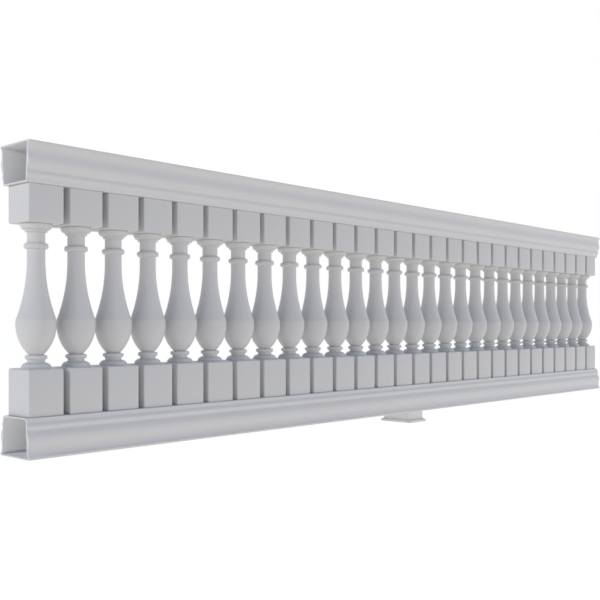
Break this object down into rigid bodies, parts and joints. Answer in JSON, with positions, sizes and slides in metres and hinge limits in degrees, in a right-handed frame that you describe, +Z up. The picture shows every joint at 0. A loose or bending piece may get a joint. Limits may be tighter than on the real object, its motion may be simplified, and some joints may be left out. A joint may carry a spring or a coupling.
{
  "type": "balustrade section",
  "caption": "Straight balustrade section of moulded white plastic: hollow moulded top and bottom rails, a row of turned vase balusters with square blocks, and a support foot under the middle.",
  "frame": {"origin": "middle of the support foot's underside, on the floor under the middle of the run", "axes": "+X along the run, +Y across it to the back, +Z up"},
  "size_m": [3.6598, 0.155, 0.9182],
  "materials": {
    "rail": "satin",
    "baluster": "satin",
    "foot": "satin"
  },
  "bodies": {
    "root": {"top_rail": "rail", "bottom_rail": "rail", "support_foot": "foot", "baluster_01": "baluster", "baluster_02": "baluster", "baluster_03": "baluster", "baluster_04": "baluster", "baluster_05": "baluster", "baluster_06": "baluster", "baluster_07": "baluster", "baluster_08": "baluster", "baluster_09": "baluster", "baluster_10": "baluster", "baluster_11": "baluster", "baluster_12": "baluster", "baluster_13": "baluster", "baluster_14": "baluster", "baluster_15": "baluster", "baluster_16": "baluster", "baluster_17": "baluster", "baluster_18": "baluster", "baluster_19": "baluster", "baluster_20": "baluster", "baluster_21": "baluster", "baluster_22": "baluster", "baluster_23": "baluster", "baluster_24": "baluster", "baluster_25": "baluster", "baluster_26": "baluster", "baluster_27": "baluster", "baluster_28": "baluster"}
  },
  "joints": []
}
